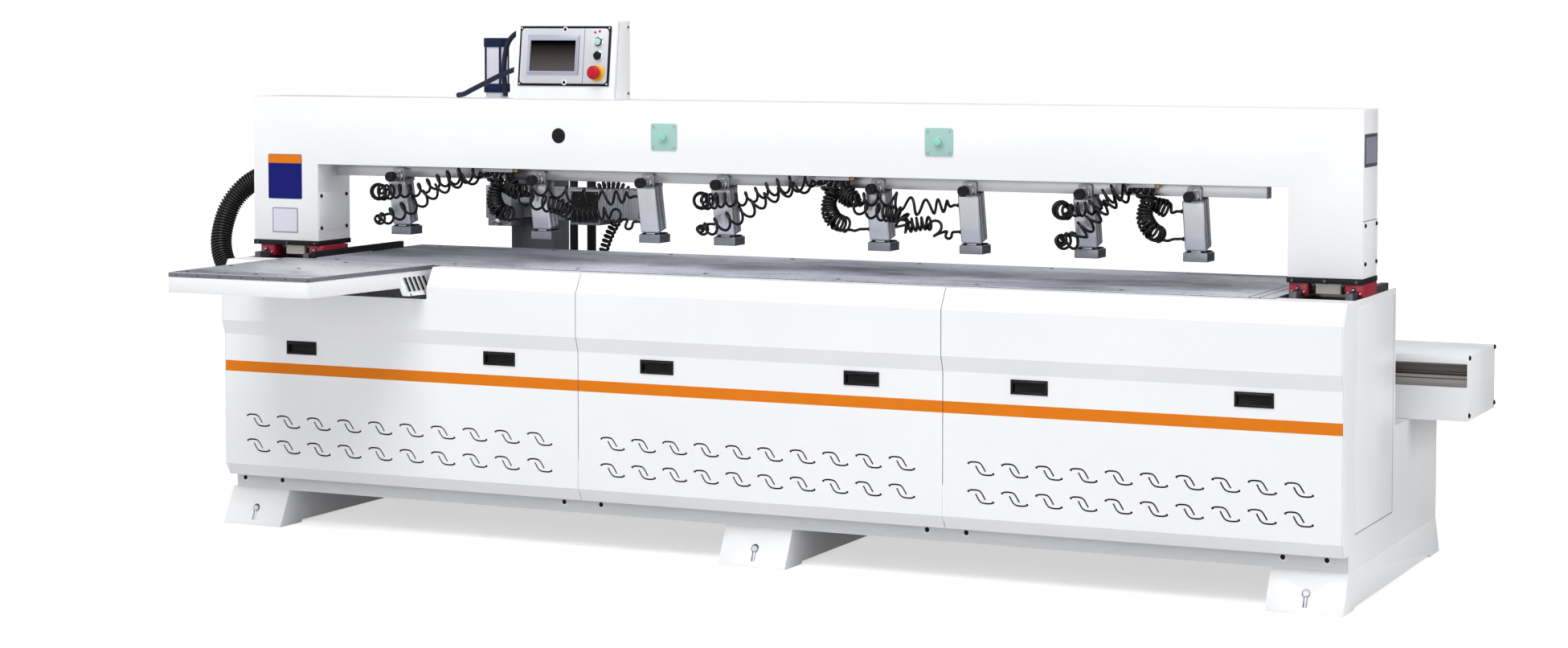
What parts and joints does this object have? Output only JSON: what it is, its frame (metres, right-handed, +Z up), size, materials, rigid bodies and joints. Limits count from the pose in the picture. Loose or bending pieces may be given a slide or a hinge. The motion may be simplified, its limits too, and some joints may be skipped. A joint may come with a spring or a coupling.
{
  "type": "side hole drilling machine",
  "caption": "Long panel-edge drilling machine: cabinet and table, tilted air clamps under a beam on rails, and a rear drilling unit on a cross bed.",
  "frame": {"origin": "on the floor, under the middle of the machine without its hoses and conduit", "axes": "+X along the machine to the right as the operator sees it, +Y from the operator to the back, +Z up"},
  "size_m": [3.8947, 1.543, 1.51],
  "materials": {
    "white_paint": "satin white powder coat",
    "frame_paint": "satin light grey paint",
    "table_plate": "worn grey ground plate",
    "rail_steel": "ground steel",
    "clamp_alloy": "anodised",
    "dark_cast": "dark grey paint",
    "black_paint": "satin black",
    "red_paint": "crimson paint",
    "cream_cast": "cream paint",
    "black_tube": "matte black plastic",
    "navy_alloy": "dark blue anodised",
    "panel_silver": "satin silver",
    "screen_plastic": "gloss",
    "mint_plastic": "gloss",
    "red_plastic": "gloss",
    "black_plastic": "gloss"
  },
  "bodies": {
    "cabinet": {"foot_left": "white_paint", "foot_middle": "white_paint", "foot_right": "white_paint", "front_panel_left": "white_paint", "front_panel_middle": "white_paint", "front_panel_right": "white_paint", "end_panel_left": "white_paint", "end_panel_right": "white_paint", "back_panel": "white_paint", "extension_tray": "white_paint", "x_axis_cover": "white_paint", "base_frame": "frame_paint", "main_table": "table_plate", "extension_table": "table_plate", "guide_rails_left": "rail_steel", "guide_rails_right": "rail_steel", "x_axis_rail": "rail_steel", "cable_conduit": "black_tube"},
    "beam": {"beam_housing": "white_paint", "base_plate_left": "black_paint", "base_plate_right": "black_paint", "carriage_left_outer": "red_paint", "carriage_left_inner": "red_paint", "carriage_right_inner": "red_paint", "carriage_right_outer": "red_paint", "screw_nut_left": "cream_cast", "screw_nut_right": "cream_cast", "clamp_rail": "clamp_alloy", "control_box": "white_paint", "control_panel": "panel_silver", "touch_screen": "screen_plastic", "air_hoses_left": "black_tube", "air_hoses_middle": "black_tube", "air_hoses_right": "black_tube"},
    "clamp_1": {"clamp_1": "clamp_alloy"},
    "clamp_foot_1": {"clamp_foot_1": "clamp_alloy"},
    "clamp_2": {"clamp_2": "clamp_alloy"},
    "clamp_foot_2": {"clamp_foot_2": "clamp_alloy"},
    "clamp_3": {"clamp_3": "clamp_alloy"},
    "clamp_foot_3": {"clamp_foot_3": "clamp_alloy"},
    "clamp_4": {"clamp_4": "clamp_alloy"},
    "clamp_foot_4": {"clamp_foot_4": "clamp_alloy"},
    "clamp_5": {"clamp_5": "clamp_alloy"},
    "clamp_foot_5": {"clamp_foot_5": "clamp_alloy"},
    "clamp_6": {"clamp_6": "clamp_alloy"},
    "clamp_foot_6": {"clamp_foot_6": "clamp_alloy"},
    "clamp_7": {"clamp_7": "clamp_alloy"},
    "clamp_foot_7": {"clamp_foot_7": "clamp_alloy"},
    "clamp_8": {"clamp_8": "clamp_alloy"},
    "clamp_foot_8": {"clamp_foot_8": "clamp_alloy"},
    "drill_carriage": {"drill_carriage": "dark_cast", "head_cylinder": "navy_alloy"},
    "head_slide": {"head_slide": "clamp_alloy"},
    "spindle_head": {"spindle_head": "clamp_alloy"},
    "drill_spindle": {"drill_spindle": "rail_steel"},
    "start_button": {"start_button": "mint_plastic"},
    "reset_button": {"reset_button": "black_plastic"},
    "emergency_stop": {"emergency_stop": "red_plastic"},
    "beam_button_1": {"beam_button_1": "mint_plastic"},
    "beam_button_2": {"beam_button_2": "mint_plastic"}
  },
  "joints": [
    {"name": "beam_travel", "type": "slide", "parent": "cabinet", "child": "beam", "axis": [0, 1, 0], "range_m": [-0.05, 0.15], "deforming": ["cable_conduit"]},
    {"name": "clamp_1_shift", "type": "slide", "parent": "beam", "child": "clamp_1", "axis": [1, 0, 0], "range_m": [-0.05, 0.05], "deforming": ["air_hoses_left"]},
    {"name": "clamp_1_press", "type": "slide", "parent": "clamp_1", "child": "clamp_foot_1", "axis": [0, 0.2079, -0.9781], "range_m": [0, 0.06]},
    {"name": "clamp_2_shift", "type": "slide", "parent": "beam", "child": "clamp_2", "axis": [1, 0, 0], "range_m": [-0.05, 0.05], "deforming": ["air_hoses_left"]},
    {"name": "clamp_2_press", "type": "slide", "parent": "clamp_2", "child": "clamp_foot_2", "axis": [0, 0.2079, -0.9781], "range_m": [0, 0.06]},
    {"name": "clamp_3_shift", "type": "slide", "parent": "beam", "child": "clamp_3", "axis": [1, 0, 0], "range_m": [-0.05, 0.05], "deforming": ["air_hoses_left"]},
    {"name": "clamp_3_press", "type": "slide", "parent": "clamp_3", "child": "clamp_foot_3", "axis": [0, 0.2079, -0.9781], "range_m": [0, 0.06]},
    {"name": "clamp_4_shift", "type": "slide", "parent": "beam", "child": "clamp_4", "axis": [1, 0, 0], "range_m": [-0.05, 0.05], "deforming": ["air_hoses_middle"]},
    {"name": "clamp_4_press", "type": "slide", "parent": "clamp_4", "child": "clamp_foot_4", "axis": [0, 0.2079, -0.9781], "range_m": [0, 0.06]},
    {"name": "clamp_5_shift", "type": "slide", "parent": "beam", "child": "clamp_5", "axis": [1, 0, 0], "range_m": [-0.05, 0.05], "deforming": ["air_hoses_middle"]},
    {"name": "clamp_5_press", "type": "slide", "parent": "clamp_5", "child": "clamp_foot_5", "axis": [0, 0.2079, -0.9781], "range_m": [0, 0.06]},
    {"name": "clamp_6_shift", "type": "slide", "parent": "beam", "child": "clamp_6", "axis": [1, 0, 0], "range_m": [-0.05, 0.05], "deforming": ["air_hoses_middle"]},
    {"name": "clamp_6_press", "type": "slide", "parent": "clamp_6", "child": "clamp_foot_6", "axis": [0, 0.2079, -0.9781], "range_m": [0, 0.06]},
    {"name": "clamp_7_shift", "type": "slide", "parent": "beam", "child": "clamp_7", "axis": [1, 0, 0], "range_m": [-0.05, 0.05], "deforming": ["air_hoses_right"]},
    {"name": "clamp_7_press", "type": "slide", "parent": "clamp_7", "child": "clamp_foot_7", "axis": [0, 0.2079, -0.9781], "range_m": [0, 0.06]},
    {"name": "clamp_8_shift", "type": "slide", "parent": "beam", "child": "clamp_8", "axis": [1, 0, 0], "range_m": [-0.05, 0.05], "deforming": ["air_hoses_right"]},
    {"name": "clamp_8_press", "type": "slide", "parent": "clamp_8", "child": "clamp_foot_8", "axis": [0, 0.2079, -0.9781], "range_m": [0, 0.06]},
    {"name": "carriage_travel", "type": "slide", "parent": "cabinet", "child": "drill_carriage", "axis": [1, 0, 0], "range_m": [-0.35, 2.55]},
    {"name": "head_lift", "type": "slide", "parent": "drill_carriage", "child": "head_slide", "axis": [0, 0, -1], "range_m": [0, 0.062]},
    {"name": "head_feed", "type": "slide", "parent": "head_slide", "child": "spindle_head", "axis": [0, -1, 0], "range_m": [0, 0.06]},
    {"name": "drill_spin", "type": "hinge", "parent": "spindle_head", "child": "drill_spindle", "pos_m": [-1.3, 0.4805, 0.876], "axis": [0, -1, 0], "continuous": true},
    {"name": "start_button_press", "type": "slide", "parent": "beam", "child": "start_button", "axis": [0, 0.993, -0.1184], "range_m": [0, 0.003], "stiffness_N_per_m": 600, "springref_m": -0.002},
    {"name": "reset_button_press", "type": "slide", "parent": "beam", "child": "reset_button", "axis": [0, 0.993, -0.1184], "range_m": [0, 0.003], "stiffness_N_per_m": 600, "springref_m": -0.002},
    {"name": "emergency_stop_press", "type": "slide", "parent": "beam", "child": "emergency_stop", "axis": [0, 0.993, -0.1184], "range_m": [0, 0.005], "stiffness_N_per_m": 1500, "springref_m": -0.002},
    {"name": "beam_button_1_press", "type": "slide", "parent": "beam", "child": "beam_button_1", "axis": [0, 1, 0], "range_m": [0, 0.003], "stiffness_N_per_m": 600, "springref_m": -0.002},
    {"name": "beam_button_2_press", "type": "slide", "parent": "beam", "child": "beam_button_2", "axis": [0, 1, 0], "range_m": [0, 0.003], "stiffness_N_per_m": 600, "springref_m": -0.002}
  ]
}
